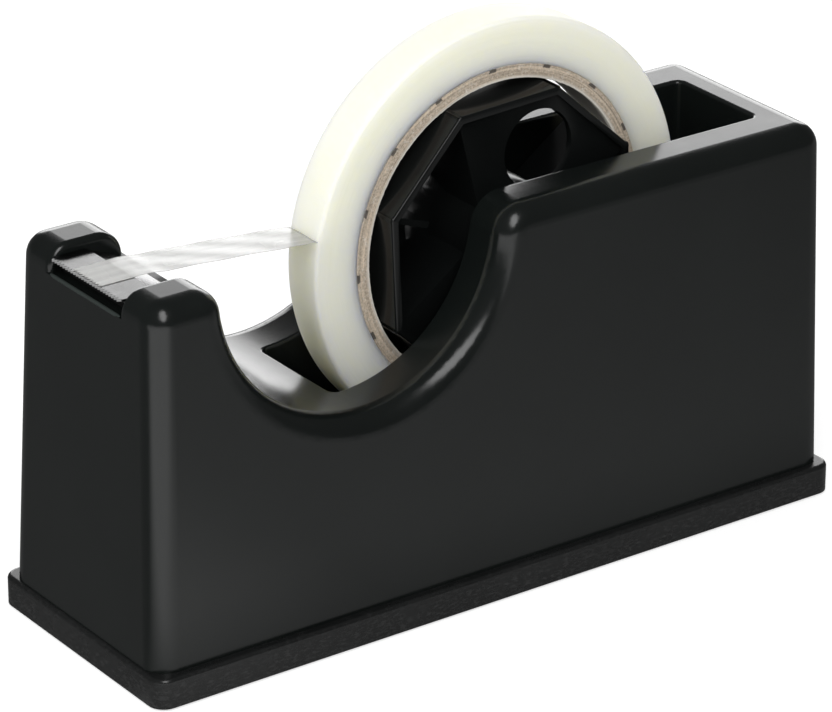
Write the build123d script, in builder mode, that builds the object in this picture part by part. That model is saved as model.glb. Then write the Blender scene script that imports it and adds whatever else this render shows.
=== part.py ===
from build123d import *
from math import cos, radians, sin, sqrt, tan
import os

os.makedirs("parts", exist_ok=True)

# Weighted desk dispenser for one roll of tape on a large core.
# X runs from the cutter to the rear, Y across the object and Z up. The origin is on the desk,
# under the middle of the base.

# ---- Base ------------------------------------------------------------------------------------
base_end_ledge = 1.1
base_side_ledge = 2.4
base_height = 7.5
base_corner = 4.2
base_edge_round = 1.1
tray_floor = 3.2
pad_end_margin = 16.2
pad_side_margin = 14.7
pad_thickness = 1.4
pad_recess = 1.0
pad_corner = 5.0
pad_clearance = 0.3

# ---- Shell -----------------------------------------------------------------------------------
body_length = 198.2
body_width = 64.6
body_height = 89.5
front_draft = 2.2
rear_draft = 0.3
side_draft = 2.1
body_corner = 6.0
wall = 2.6
top_round = 5.8

# Valley between the horns and the high rear part. Its middle is a share of the body's length
# behind the front.
valley_share = 0.31231
valley_radius = 38.6
valley_centre_drop = 1.8
horn_round = 6.5
rear_shoulder_round = 8.0
least_round = 0.5
hair = 0.01

# Roll well.
well_lead = 1.0
well_rear_margin = 11.3
well_width = 30.0
well_floor_height = 24.4
well_wall = 2.2
well_corner = 2.0
well_lip_round = 0.9

# ---- Cutter between the horns ----------------------------------------------------------------
nose_slot_width = 30.0
nose_floor_drop = 6.4
horn_inner_round = 1.6
blade_thickness = 0.6
blade_depth = 9.8
blade_setback = 0.2
blade_side_clearance = 0.25
tooth_pitch = 1.15
tooth_depth = 0.9
bracket_thickness = 0.8
bracket_setback = 2.0
bracket_ramp_run = 7.0
bracket_ramp_drop = 2.4
carrier_height = 2.6
carrier_setback = 3.4
carrier_rear_margin = 0.8
carrier_screw_radius = 1.25
carrier_screw_head = 2.4
carrier_screw_head_height = 1.6
carrier_screw_spacing = 17.0

# ---- Roll, core, adapter and hub -------------------------------------------------------------
axis_setback = 54.1
roll_floor_gap = 3.9
tape_width = 12.0
roll_radius = 53.2
core_bore_radius = 38.1
core_thickness = 3.4
winding_gap = 0.05

adapter_fit = 0.2
adapter_width = 23.8
adapter_turn = 25.0
adapter_corner_round = 0.8
adapter_wall = 1.8
adapter_web = 1.8
adapter_web_recess = 1.2
adapter_sector_angle = 34.5
adapter_sector_apex = 12.5
adapter_flare_place = 3.0
adapter_flare_radius = 17.2
adapter_sleeve_wall = 1.7
adapter_sleeve_length = 22.0
adapter_rib = 1.6
adapter_spur = 11.0
finger_hole_radius = 9.9
finger_hole_distance = 22.2

hub_radius = 11.8
hub_length = 21.6
hub_rim = 1.8
hub_tube_wall = 1.6
hub_web = 2.0
hub_rib = 1.4
hub_rib_count = 6
hub_fit = 0.1

spindle_radius = 4.0
spindle_chamfer = 0.6
spindle_end_clearance = 0.3
running_clearance = 0.05
bush_wall = 1.6
bush_length = 7.0
bush_fit = 0.03
washer_thickness = 0.6
washer_radius = 7.0
clip_thickness = 0.8
clip_rim = 2.4
clip_groove_depth = 0.6
clip_mouth = 4.6
end_float = 0.05

saddle_thickness = 2.3
saddle_width = 18.0
saddle_below = 12.0
saddle_above = 5.0
saddle_mouth = 1.2

# ---- Free end of the tape --------------------------------------------------------------------
lead_thickness = 0.25
lead_gap = 0.3
lead_clearance = 0.05
lead_roll_height = 10.2
lead_blade_margin = 0.5

# ---- Weights and screws ----------------------------------------------------------------------
weight_gap = 0.4
nose_weight_rear_gap = 3.0
nose_weight_height = 44.0
nose_weight_setback = 5.0
side_weight_rear_gap = 9.6
side_weight_height = 46.0
side_weight_wall_gap = 1.5
side_weight_setback = 4.4
floor_weight_end_gap = 5.0
weight_edge = 1.0

screw_fit = 0.05
screw_head_height = 1.7
screw_slot_margin = 1.1
screw_slot_width = 0.9
screw_slot_depth = 0.8
base_screw_radius = 1.7
base_screw_head = 3.2
base_screw_length = 14.0
boss_radius = 4.0
boss_height = 24.0
boss_inset = 8.5
boss_wall_overlap = 0.5
weight_screw_radius = 2.0
weight_screw_head = 3.8
weight_screw_length = 11.0
nose_screw_spacing = 22.0
floor_screw_spacing = 80.0

# ---- Heights and places that follow from the sizes above -------------------------------------
base_length = body_length + 2 * base_end_ledge
base_width = body_width + 2 * base_side_ledge
pad_length = base_length - 2 * pad_end_margin
pad_width = base_width - 2 * pad_side_margin
base_bottom = pad_thickness - pad_recess
tray_top = base_bottom + base_height
tray_floor_top = base_bottom + tray_floor
body_top = tray_top + body_height


def inset(draft, height):
    """How far a drafted face leans in at a height above the seam."""
    return tan(radians(draft)) * (height - tray_top)


def front_face(height):
    return -body_length / 2 + inset(front_draft, height)


def rear_face(height):
    return body_length / 2 - inset(rear_draft, height)


def half_width(height):
    return body_width / 2 - inset(side_draft, height)


nose_floor = body_top - nose_floor_drop
valley_x = body_length * (valley_share - 1 / 2)
valley_centre = body_top - valley_centre_drop
valley_floor = valley_centre - valley_radius
nose_rear = valley_x - sqrt(valley_radius**2 - (valley_centre - nose_floor) ** 2)
well_front = valley_x - well_lead
well_rear = body_length / 2 - well_rear_margin
well_middle = (well_front + well_rear) / 2
well_length = well_rear - well_front
well_bottom = well_floor_height - well_wall
axis_x = valley_x + axis_setback
axis_height = well_floor_height + roll_floor_gap + roll_radius

boss_y = half_width(tray_top + boss_height) - wall - boss_radius + boss_wall_overlap
boss_front = front_face(tray_top) + wall + boss_inset
boss_rear = rear_face(tray_top) - wall - boss_inset
boss_places = [(x, y) for x in (boss_front, boss_rear) for y in (-boss_y, boss_y)]

bracket_bottom = nose_floor + carrier_height
blade_bottom = bracket_bottom + bracket_thickness
blade_top = blade_bottom + blade_thickness
blade_front = front_face(blade_top) + blade_setback
blade_rear = blade_front + blade_depth
carrier_front = blade_front + carrier_setback
carrier_rear = blade_rear - carrier_rear_margin
cutter_width = nose_slot_width - 2 * blade_side_clearance
carrier_screw_x = (carrier_front + carrier_rear) / 2
carrier_screw_places = [(carrier_screw_x, y) for y in (-carrier_screw_spacing / 2, carrier_screw_spacing / 2)]

adapter_radius = core_bore_radius - adapter_fit
adapter_inner_radius = adapter_radius - adapter_wall / cos(radians(180 / 8))
sleeve_bore = hub_radius + hub_fit
sleeve_radius = sleeve_bore + adapter_sleeve_wall
core_radius = core_bore_radius + core_thickness
bush_bore = spindle_radius + running_clearance
bush_radius = bush_bore + bush_wall
hub_tube_bore = bush_radius + bush_fit
washer_place = hub_length / 2 + end_float
clip_place = washer_place + washer_thickness + end_float
clip_groove_radius = spindle_radius - clip_groove_depth
spindle_half_length = well_width / 2 - spindle_end_clearance

nose_weight_front = boss_front + boss_radius + nose_weight_setback - weight_gap
nose_weight_length = well_front - well_wall - nose_weight_rear_gap - nose_weight_front
nose_weight_x = nose_weight_front + nose_weight_length / 2
side_weight_length = well_length - side_weight_setback - side_weight_rear_gap
floor_weight_length = well_length - 2 * floor_weight_end_gap
side_weight_x = well_front + side_weight_setback + side_weight_length / 2
side_weight_inner = well_width / 2 + well_wall + weight_gap
side_weight_outer = half_width(tray_floor_top + side_weight_height) - wall - side_weight_wall_gap
side_weight_thickness = side_weight_outer - side_weight_inner
side_weight_y = (side_weight_inner + side_weight_outer) / 2
nose_screw_places = [(nose_weight_x, y) for y in (-nose_screw_spacing / 2, nose_screw_spacing / 2)]
floor_screw_places = [(well_middle + dx, 0) for dx in (-floor_screw_spacing / 2, floor_screw_spacing / 2)]
weight_screw_places = nose_screw_places + floor_screw_places


def across(y):
    """A plane that faces -Y at a place across the object."""
    return Plane.XZ.offset(-y)


def shell_form(shrink):
    """The shell's tapered form with its valley, every face but the lowest moved in by shrink."""
    top = body_top - shrink
    with BuildPart() as form:
        with BuildSketch(Plane.XZ) as side_outline:
            with BuildLine():
                Polyline(
                    (front_face(tray_top) + shrink, tray_top),
                    (rear_face(tray_top) - shrink, tray_top),
                    (rear_face(top) - shrink, top),
                    (front_face(top) + shrink, top),
                    close=True,
                )
            make_face()
            with Locations((valley_x, valley_centre)):
                Circle(valley_radius + shrink, mode=Mode.SUBTRACT)
            brinks = side_outline.vertices().filter_by(lambda v: v.Y > top - hair).sort_by(Axis.X)
            fillet(brinks[1], max(horn_round - shrink, least_round))
            brinks = side_outline.vertices().filter_by(lambda v: v.Y > top - hair).sort_by(Axis.X)
            fillet(brinks[-2], max(rear_shoulder_round - shrink, least_round))
        extrude(amount=body_width, both=True)
        with BuildSketch(Plane.YZ):
            with BuildLine():
                Polyline(
                    (-half_width(tray_top) + shrink, tray_top),
                    (half_width(tray_top) - shrink, tray_top),
                    (half_width(top) - shrink, top),
                    (-half_width(top) + shrink, top),
                    close=True,
                )
            make_face()
        extrude(amount=body_length, both=True, mode=Mode.INTERSECT)
        upright = form.edges().filter_by(lambda e: abs(e.tangent_at(0.5).Z) > 0.99)
        corners = upright.filter_by(lambda e: e.length > body_height / 2)
        fillet(corners, max(body_corner - shrink, least_round))
    return form.part


# Outer form of the shell, with its upper edges rounded all the way along.
with BuildPart() as outer_form:
    add(shell_form(0))
    crest = outer_form.edges().filter_by(lambda e: e.center().Z > valley_floor - hair)
    crosswise = outer_form.edges().filter_by(Axis.Y)
    inner = crosswise.filter_by(lambda e: front_face(body_top) + hair < e.center().X)
    inner = inner.filter_by(lambda e: e.center().X < rear_face(body_top) - hair)
    fillet([edge for edge in crest if edge not in inner], top_round)

# ---- Shell -----------------------------------------------------------------------------------
with BuildPart() as body_shell:
    add(outer_form.part)
    add(shell_form(wall), mode=Mode.SUBTRACT)
    # Walls and floor of the roll well.
    with BuildSketch(Plane.XY.offset(well_bottom)):
        with Locations((well_middle, 0)):
            RectangleRounded(well_length + 2 * well_wall, well_width + 2 * well_wall, well_corner + well_wall)
    well_walls = extrude(amount=body_top - well_bottom, mode=Mode.PRIVATE)
    add(well_walls & outer_form.part)
    # Floor and cheeks of the cutter's slot.
    with BuildSketch(Plane.XY.offset(nose_floor - wall)):
        with Locations(((front_face(tray_top) + nose_rear) / 2, 0)):
            Rectangle(nose_rear - front_face(tray_top), nose_slot_width + 2 * wall)
    nose_walls = extrude(amount=nose_floor_drop + wall, mode=Mode.PRIVATE)
    add(nose_walls & outer_form.part)
    # Screw bosses against the long walls.
    with BuildSketch(Plane.XY.offset(tray_floor_top)):
        with Locations(*boss_places):
            Circle(boss_radius)
    extrude(amount=boss_height)
    # The well, with a softened lip.
    with BuildSketch(Plane.XY.offset(well_floor_height)):
        with Locations((well_middle, 0)):
            RectangleRounded(well_length, well_width, well_corner)
    extrude(amount=body_top, mode=Mode.SUBTRACT)
    lip = body_shell.edges().filter_by(lambda e: e.bounding_box().min.Z > valley_floor - hair)
    lip = lip.filter_by(lambda e: abs(e.center().Y) < well_width / 2 + hair)
    lip = lip.filter_by(lambda e: e.bounding_box().min.X > well_front - hair)
    fillet(lip.filter_by(lambda e: abs(e.tangent_at(0.5).Z) < 0.99), well_lip_round)
    # The slot between the horns, with softened inner edges.
    with BuildSketch(Plane.XY.offset(nose_floor)):
        with Locations((nose_rear + horn_round - body_length / 2, 0)):
            Rectangle(body_length, nose_slot_width)
    extrude(amount=body_height, mode=Mode.SUBTRACT)
    horns = body_shell.edges().filter_by(lambda e: abs(abs(e.center().Y) - nose_slot_width / 2) < hair)
    horns = horns.filter_by(lambda e: e.center().X < nose_rear + horn_round)
    fillet(horns.filter_by(lambda e: e.center().Z > nose_floor + hair), horn_inner_round)
    # Pilot holes for the base screws and clear holes for the cutter's screws.
    with BuildSketch(Plane.XY.offset(tray_floor_top)):
        with Locations(*boss_places):
            Circle(base_screw_radius + screw_fit)
    extrude(amount=base_screw_length, mode=Mode.SUBTRACT)
    with BuildSketch(Plane.XY.offset(nose_floor - 2 * wall)):
        with Locations(*carrier_screw_places):
            Circle(carrier_screw_radius + screw_fit)
    extrude(amount=3 * wall, mode=Mode.SUBTRACT)
body_shell.part.label = "body_shell"
export_step(body_shell.part, "parts/body_shell.step")


# ---- Base tray, pad and their screws ---------------------------------------------------------
def screw_bodies(places, radius, head_radius, bottom, length):
    """Flat-headed screws that point up from a height, one at each place."""
    with BuildPart() as bodies:
        with BuildSketch(Plane.XY.offset(bottom)):
            with Locations(*places):
                Circle(radius)
        extrude(amount=length)
        with Locations(*[(x, y, bottom + screw_head_height / 2) for x, y in places]):
            Cone(head_radius, radius, screw_head_height)
    return bodies.part


base_screw = (base_screw_radius, base_screw_head, base_bottom)
base_screw_hole = (base_screw_radius + screw_fit, base_screw_head + screw_fit, base_bottom)
weight_screw_bottom = base_bottom + pad_recess
weight_screw = (weight_screw_radius, weight_screw_head, weight_screw_bottom)
weight_screw_hole = (weight_screw_radius + screw_fit, weight_screw_head + screw_fit, weight_screw_bottom)

with BuildPart() as base_tray:
    with BuildSketch(Plane.XY.offset(base_bottom)):
        RectangleRounded(base_length, base_width, base_corner)
    extrude(amount=base_height)
    fillet(base_tray.faces().sort_by(Axis.Z)[-1].edges(), base_edge_round)
    with BuildSketch(Plane.XY.offset(tray_floor_top)):
        RectangleRounded(body_length - 2 * wall, body_width - 2 * wall, body_corner - wall)
    extrude(amount=base_height, mode=Mode.SUBTRACT)
    with BuildSketch(Plane.XY.offset(base_bottom)):
        pad_space = 2 * pad_clearance
        RectangleRounded(pad_length + pad_space, pad_width + pad_space, pad_corner + pad_clearance)
    extrude(amount=pad_recess, mode=Mode.SUBTRACT)
    add(screw_bodies(boss_places, *base_screw_hole, base_height), mode=Mode.SUBTRACT)
    add(screw_bodies(weight_screw_places, *weight_screw_hole, base_height), mode=Mode.SUBTRACT)
base_tray.part.label = "base_tray"
export_step(base_tray.part, "parts/base_tray.step")

with BuildPart() as base_pad:
    with BuildSketch():
        RectangleRounded(pad_length, pad_width, pad_corner)
    extrude(amount=pad_thickness)
base_pad.part.label = "base_pad"
export_step(base_pad.part, "parts/base_pad.step")

with BuildPart() as base_screws:
    add(screw_bodies(boss_places, *base_screw, base_screw_length))
    with BuildSketch(Plane.XY.offset(base_bottom)):
        with Locations(*boss_places):
            Rectangle(2 * (base_screw_head - screw_slot_margin), screw_slot_width)
            Rectangle(screw_slot_width, 2 * (base_screw_head - screw_slot_margin))
    extrude(amount=screw_slot_depth, mode=Mode.SUBTRACT)
base_screws.part.label = "base_screws"
export_step(base_screws.part, "parts/base_screws.step")

with BuildPart() as weight_screws:
    add(screw_bodies(weight_screw_places, *weight_screw, weight_screw_length))
    with BuildSketch(Plane.XY.offset(weight_screw_bottom)):
        with Locations(*weight_screw_places):
            Rectangle(2 * (weight_screw_head - screw_slot_margin), screw_slot_width)
            Rectangle(screw_slot_width, 2 * (weight_screw_head - screw_slot_margin))
    extrude(amount=screw_slot_depth, mode=Mode.SUBTRACT)
weight_screws.part.label = "weight_screws"
export_step(weight_screws.part, "parts/weight_screws.step")


# ---- Weights ---------------------------------------------------------------------------------
def weight_block(x, y, length, width, height):
    """A cast block that stands on the tray's floor, with its edges broken."""
    with BuildPart() as block:
        with BuildSketch(Plane.XY.offset(tray_floor_top)):
            with Locations((x, y)):
                Rectangle(length, width)
        extrude(amount=height)
        chamfer(block.edges(), weight_edge)
    return block.part


nose_weight_width = 2 * (half_width(tray_floor_top + nose_weight_height) - wall - weight_gap)
floor_weight_width = well_width + 2 * (well_wall - weight_gap)
floor_weight_height = well_bottom - weight_gap - tray_floor_top

with BuildPart() as nose_weight:
    add(weight_block(nose_weight_x, 0, nose_weight_length, nose_weight_width, nose_weight_height))
    with BuildSketch(Plane.XY.offset(tray_floor_top)):
        with Locations(*nose_screw_places):
            Circle(weight_screw_radius + screw_fit)
    extrude(amount=weight_screw_length, mode=Mode.SUBTRACT)
nose_weight.part.label = "nose_weight"
export_step(nose_weight.part, "parts/nose_weight.step")

with BuildPart() as floor_weight:
    add(weight_block(well_middle, 0, floor_weight_length, floor_weight_width, floor_weight_height))
    with BuildSketch(Plane.XY.offset(tray_floor_top)):
        with Locations(*floor_screw_places):
            Circle(weight_screw_radius + screw_fit)
    extrude(amount=weight_screw_length, mode=Mode.SUBTRACT)
floor_weight.part.label = "floor_weight"
export_step(floor_weight.part, "parts/floor_weight.step")

side_weight_size = (side_weight_length, side_weight_thickness, side_weight_height)
for side, side_name in ((-1, "near"), (1, "far")):
    side_y = side * side_weight_y
    with BuildPart() as side_weight:
        add(weight_block(side_weight_x, side_y, *side_weight_size))
    side_weight.part.label = f"{side_name}_side_weight"
    export_step(side_weight.part, f"parts/{side_name}_side_weight.step")

# ---- Cutter ----------------------------------------------------------------------------------
with BuildPart() as blade_carrier:
    with BuildSketch(Plane.XY.offset(nose_floor)):
        with Locations(((carrier_front + carrier_rear) / 2, 0)):
            Rectangle(carrier_rear - carrier_front, cutter_width)
    extrude(amount=carrier_height)
    with BuildSketch(Plane.XY.offset(nose_floor)):
        with Locations(*carrier_screw_places):
            Circle(carrier_screw_radius + screw_fit)
    extrude(amount=carrier_height, mode=Mode.SUBTRACT)
blade_carrier.part.label = "blade_carrier"
export_step(blade_carrier.part, "parts/blade_carrier.step")

# The bracket is a bent strip: flat under the blade, then a ramp down behind it.
with BuildPart() as blade_bracket:
    with BuildSketch(Plane.XZ):
        with BuildLine():
            Polyline(
                (blade_front + bracket_setback, bracket_bottom),
                (blade_rear, bracket_bottom),
                (blade_rear + bracket_ramp_run, bracket_bottom - bracket_ramp_drop),
                (blade_rear + bracket_ramp_run, blade_bottom - bracket_ramp_drop),
                (blade_rear, blade_bottom),
                (blade_front + bracket_setback, blade_bottom),
                close=True,
            )
        make_face()
    extrude(amount=cutter_width / 2, both=True)
    with BuildSketch(Plane.XY.offset(nose_floor)):
        with Locations(*carrier_screw_places):
            Circle(carrier_screw_radius + screw_fit)
    extrude(amount=blade_thickness + carrier_height + bracket_thickness, mode=Mode.SUBTRACT)
blade_bracket.part.label = "blade_bracket"
export_step(blade_bracket.part, "parts/blade_bracket.step")

# The blade's front edge is a row of equal teeth.
tooth_count = int(cutter_width / tooth_pitch)
teeth_start = -tooth_count * tooth_pitch / 2
tooth_line = [(blade_front + tooth_depth, -cutter_width / 2)]
for tooth in range(tooth_count):
    tooth_line.append((blade_front + tooth_depth, teeth_start + tooth * tooth_pitch))
    tooth_line.append((blade_front, teeth_start + (tooth + 0.5) * tooth_pitch))
tooth_line.append((blade_front + tooth_depth, -teeth_start))
tooth_line.append((blade_front + tooth_depth, cutter_width / 2))

with BuildPart() as cutter_blade:
    with BuildSketch(Plane.XY.offset(blade_bottom)):
        with BuildLine():
            Polyline(*tooth_line, (blade_rear, cutter_width / 2), (blade_rear, -cutter_width / 2), close=True)
        make_face()
    extrude(amount=blade_thickness)
cutter_blade.part.label = "cutter_blade"
export_step(cutter_blade.part, "parts/cutter_blade.step")

with BuildPart() as carrier_screws:
    with BuildSketch(Plane.XY.offset(nose_floor - wall - carrier_screw_head_height)):
        with Locations(*carrier_screw_places):
            Circle(carrier_screw_head)
    extrude(amount=carrier_screw_head_height)
    with BuildSketch(Plane.XY.offset(nose_floor - wall)):
        with Locations(*carrier_screw_places):
            Circle(carrier_screw_radius)
    extrude(amount=blade_bottom - nose_floor + wall)
carrier_screws.part.label = "carrier_screws"
export_step(carrier_screws.part, "parts/carrier_screws.step")

# ---- Saddles that carry the spindle's ends ---------------------------------------------------
for side, side_name in ((-1, "near"), (1, "far")):
    saddle_face = side * (well_width - saddle_thickness) / 2
    with BuildPart() as saddle:
        with BuildSketch(across(saddle_face)):
            with Locations((axis_x, axis_height + (saddle_above - saddle_below) / 2)):
                RectangleRounded(saddle_width, saddle_above + saddle_below, 2 * well_corner)
            with Locations((axis_x, axis_height)):
                Circle(bush_bore, mode=Mode.SUBTRACT)
            with BuildLine():
                Polyline(
                    (axis_x - bush_bore, axis_height),
                    (axis_x + bush_bore, axis_height),
                    (axis_x + bush_bore, axis_height + saddle_above - saddle_mouth),
                    (axis_x + bush_bore + saddle_mouth, axis_height + saddle_above),
                    (axis_x - bush_bore - saddle_mouth, axis_height + saddle_above),
                    (axis_x - bush_bore, axis_height + saddle_above - saddle_mouth),
                    close=True,
                )
            make_face(mode=Mode.SUBTRACT)
        extrude(amount=saddle_thickness / 2, both=True)
    saddle.part.label = f"{side_name}_saddle"
    export_step(saddle.part, f"parts/{side_name}_saddle.step")

# ---- Spindle with its clips and washers ------------------------------------------------------
with BuildPart() as spindle:
    with BuildSketch(across(0)):
        with Locations((axis_x, axis_height)):
            Circle(spindle_radius)
    extrude(amount=spindle_half_length, both=True)
    chamfer(spindle.edges(), spindle_chamfer)
    for groove_middle in (-clip_place - clip_thickness / 2, clip_place + clip_thickness / 2):
        with BuildSketch(across(groove_middle)):
            with Locations((axis_x, axis_height)):
                Circle(spindle_radius + spindle_chamfer)
                Circle(clip_groove_radius, mode=Mode.SUBTRACT)
        extrude(amount=clip_thickness / 2 + end_float, both=True, mode=Mode.SUBTRACT)
spindle.part.label = "spindle"
export_step(spindle.part, "parts/spindle.step")

with BuildPart() as retaining_clips:
    for clip_middle in (-clip_place - clip_thickness / 2, clip_place + clip_thickness / 2):
        with BuildSketch(across(clip_middle)):
            with Locations((axis_x, axis_height)):
                Circle(spindle_radius + clip_rim)
                Circle(clip_groove_radius + running_clearance, mode=Mode.SUBTRACT)
            with Locations((axis_x, axis_height + spindle_radius + clip_rim)):
                Rectangle(clip_mouth, 2 * (spindle_radius + clip_rim), mode=Mode.SUBTRACT)
        extrude(amount=clip_thickness / 2, both=True)
retaining_clips.part.label = "retaining_clips"
export_step(retaining_clips.part, "parts/retaining_clips.step")

with BuildPart() as drag_washers:
    for washer_middle in (-washer_place - washer_thickness / 2, washer_place + washer_thickness / 2):
        with BuildSketch(across(washer_middle)):
            with Locations((axis_x, axis_height)):
                Circle(washer_radius)
                Circle(bush_bore, mode=Mode.SUBTRACT)
        extrude(amount=washer_thickness / 2, both=True)
drag_washers.part.label = "drag_washers"
export_step(drag_washers.part, "parts/drag_washers.step")

# ---- Hub and bushes that turn on the spindle -------------------------------------------------
with BuildPart() as hub_bushes:
    for bush_middle in ((bush_length - hub_length) / 2, (hub_length - bush_length) / 2):
        with BuildSketch(across(bush_middle)):
            with Locations((axis_x, axis_height)):
                Circle(bush_radius)
                Circle(bush_bore, mode=Mode.SUBTRACT)
        extrude(amount=bush_length / 2, both=True)
hub_bushes.part.label = "hub_bushes"
export_step(hub_bushes.part, "parts/hub_bushes.step")

hub_tube_radius = hub_tube_bore + hub_tube_wall
with BuildPart() as inner_hub:
    with BuildSketch(across(0)):
        with Locations((axis_x, axis_height)):
            Circle(hub_radius)
            Circle(hub_radius - hub_rim, mode=Mode.SUBTRACT)
            Circle(hub_tube_radius)
            Circle(hub_tube_bore, mode=Mode.SUBTRACT)
            with PolarLocations((hub_radius + hub_tube_bore) / 2, hub_rib_count):
                Rectangle(hub_radius - hub_tube_bore - hub_rim, hub_rib)
    extrude(amount=hub_length / 2, both=True)
    with BuildSketch(across(0)):
        with Locations((axis_x, axis_height)):
            Circle(hub_radius)
            Circle(hub_tube_bore, mode=Mode.SUBTRACT)
    extrude(amount=hub_web / 2, both=True)
inner_hub.part.label = "inner_hub"
export_step(inner_hub.part, "parts/inner_hub.step")

# ---- Eight-sided adapter that fills the large core -------------------------------------------
web_face = adapter_width / 2 - adapter_web_recess
web_inside = web_face - adapter_web
sector_turns = (adapter_turn + 45, adapter_turn + 225)
sector_slope = tan(radians(adapter_sector_angle))
wall_shift = adapter_rib / sin(radians(adapter_sector_angle))
hub_place = (axis_x, axis_height)
hub_turns = [Location((*hub_place, 0), (0, 0, turn)) for turn in sector_turns]


def sectors(radius, apex):
    """Two opposite sectors of the eight-sided inside, whose tips lie behind the axis by apex."""
    with BuildSketch() as outline:
        with Locations(hub_place):
            RegularPolygon(radius, 8, rotation=adapter_turn)
        with BuildSketch(mode=Mode.INTERSECT):
            with Locations(*hub_turns):
                reach = 2 * radius
                side = (reach + apex) * sector_slope
                Polygon((-apex, 0), (reach, -side), (reach, side), align=None)
    return outline.sketch


rim_middle_corner = adapter_inner_radius + adapter_wall / 2

with BuildPart() as core_adapter:
    with BuildSketch(across(0)) as rim:
        with Locations(hub_place):
            RegularPolygon(adapter_radius, 8, rotation=adapter_turn)
            fillet(rim.vertices(), adapter_corner_round)
            RegularPolygon(adapter_inner_radius, 8, rotation=adapter_turn, mode=Mode.SUBTRACT)
    extrude(amount=adapter_width / 2, both=True)
    # Far web, and its flare down to the sleeve.
    with BuildSketch(across(web_face)):
        with Locations(hub_place):
            RegularPolygon(rim_middle_corner, 8, rotation=adapter_turn)
    extrude(amount=adapter_web)
    with BuildSketch(across(web_inside)):
        with Locations(hub_place):
            Circle(adapter_flare_radius)
    with BuildSketch(across(adapter_flare_place)):
        with Locations(hub_place):
            Circle(sleeve_radius)
    loft()
    # Spurs that stand on the far web.
    with BuildSketch(across(web_inside)):
        with Locations(hub_place):
            with PolarLocations(rim_middle_corner - adapter_spur / 2, 2, start_angle=adapter_turn + 135):
                Rectangle(adapter_spur, adapter_rib)
    extrude(amount=web_inside + web_face)
    # Two near webs with side walls, each over a chamber that is open to the far side.
    with BuildSketch(across(web_face)):
        add(sectors(rim_middle_corner, adapter_sector_apex))
    extrude(amount=2 * web_face)
    with BuildSketch(across(adapter_width / 2)):
        add(sectors(adapter_inner_radius, adapter_sector_apex - wall_shift))
    extrude(amount=adapter_width / 2 + web_inside, mode=Mode.SUBTRACT)
    # Finger holes through the near webs.
    with BuildSketch(across(-web_inside)):
        with Locations(hub_place):
            with PolarLocations(finger_hole_distance, 2, start_angle=sector_turns[0]):
                Circle(finger_hole_radius)
    extrude(amount=adapter_web, mode=Mode.SUBTRACT)
    # Sleeve on the hub.
    with BuildSketch(across(0)):
        with Locations(hub_place):
            Circle(sleeve_radius)
    extrude(amount=adapter_sleeve_length / 2, both=True)
    with BuildSketch(across(0)):
        with Locations(hub_place):
            Circle(sleeve_bore)
    extrude(amount=adapter_width / 2, both=True, mode=Mode.SUBTRACT)
core_adapter.part.label = "core_adapter"
export_step(core_adapter.part, "parts/core_adapter.step")

# ---- Core, roll and the free end of the tape -------------------------------------------------
with BuildPart() as cardboard_core:
    with BuildSketch(across(0)):
        with Locations(hub_place):
            Circle(core_radius)
            Circle(core_bore_radius, mode=Mode.SUBTRACT)
    extrude(amount=tape_width / 2, both=True)
cardboard_core.part.label = "cardboard_core"
export_step(cardboard_core.part, "parts/cardboard_core.step")

with BuildPart() as tape_roll:
    with BuildSketch(across(0)):
        with Locations(hub_place):
            Circle(roll_radius)
            Circle(core_radius + winding_gap, mode=Mode.SUBTRACT)
    extrude(amount=tape_width / 2, both=True)
tape_roll.part.label = "tape_roll"
export_step(tape_roll.part, "parts/tape_roll.step")

# The tape lies on the blade and runs straight to the place where it peels off the roll.
lead_bottom = blade_top + lead_clearance
lead_end_x = axis_x - sqrt((roll_radius + lead_gap) ** 2 - lead_roll_height**2)
lead_end_z = axis_height + lead_roll_height
with BuildPart() as tape_lead:
    with BuildSketch(Plane.XZ):
        with BuildLine():
            Polyline(
                (blade_front + lead_blade_margin, lead_bottom),
                (blade_rear, lead_bottom),
                (lead_end_x, lead_end_z),
                (lead_end_x, lead_end_z + lead_thickness),
                (blade_rear, lead_bottom + lead_thickness),
                (blade_front + lead_blade_margin, lead_bottom + lead_thickness),
                close=True,
            )
        make_face()
    extrude(amount=tape_width / 2, both=True)
tape_lead.part.label = "tape_lead"
export_step(tape_lead.part, "parts/tape_lead.step")
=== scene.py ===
import bmesh
import bpy
import numpy as np
from bpy.props import FloatProperty, FloatVectorProperty, PointerProperty
from math import cos, pi, radians, sin, sqrt
from mathutils import Matrix, Vector


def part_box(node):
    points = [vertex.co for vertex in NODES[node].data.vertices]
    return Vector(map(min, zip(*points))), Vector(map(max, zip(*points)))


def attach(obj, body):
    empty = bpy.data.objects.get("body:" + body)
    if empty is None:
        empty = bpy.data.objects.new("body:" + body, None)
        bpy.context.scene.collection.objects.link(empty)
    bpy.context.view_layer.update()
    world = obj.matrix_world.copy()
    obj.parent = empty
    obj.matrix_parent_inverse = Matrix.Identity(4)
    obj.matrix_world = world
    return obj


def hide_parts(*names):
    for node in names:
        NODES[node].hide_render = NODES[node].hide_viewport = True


bl_info = {
    "name": "Weighted tape dispenser",
    "version": (1, 0, 0),
    "blender": (4, 5, 0),
    "location": "3D View > Sidebar > Dispenser",
    "description": "Dresses the desk tape dispenser: shell, base, cutter, hub, core, roll and free tape",
    "category": "Object",
}

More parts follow.
